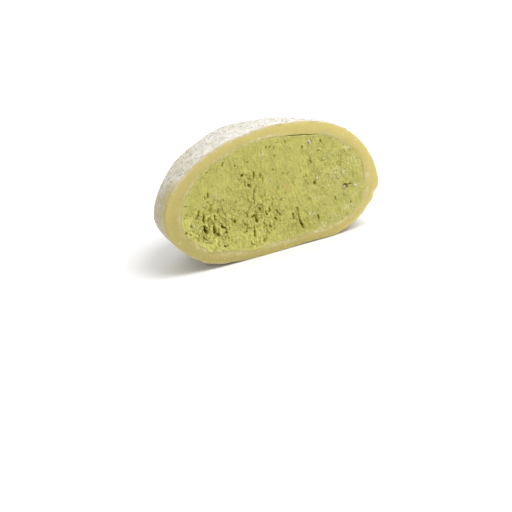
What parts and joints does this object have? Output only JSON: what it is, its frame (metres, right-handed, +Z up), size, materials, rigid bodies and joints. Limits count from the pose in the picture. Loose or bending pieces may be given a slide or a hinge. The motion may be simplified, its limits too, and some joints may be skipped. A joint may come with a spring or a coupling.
{
  "type": "mochi rice cake half",
  "caption": "Half of a soft rice cake with a green tea ice cream filling, cut straight through and resting on its flat foot.",
  "frame": {"origin": "on the surface that it rests on, under the middle of the bounding box", "axes": "+X along the cut from side to side, +Y from the cut face towards the rounded back, +Z up. The cut face looks along -Y."},
  "size_m": [0.048, 0.024, 0.0264],
  "materials": {
    "rice_dough": "soft waxy dough, dusted with white starch outside",
    "green_tea_ice_cream": "frozen and slightly crumbly, torn by the knife",
    "rice_starch": "dry white powder and small clumps",
    "ice_crystal": "frosted ice, slightly see-through"
  },
  "bodies": {
    "root": {"rice_skin": "rice_dough", "ice_cream": "green_tea_ice_cream"}
  },
  "joints": []
}
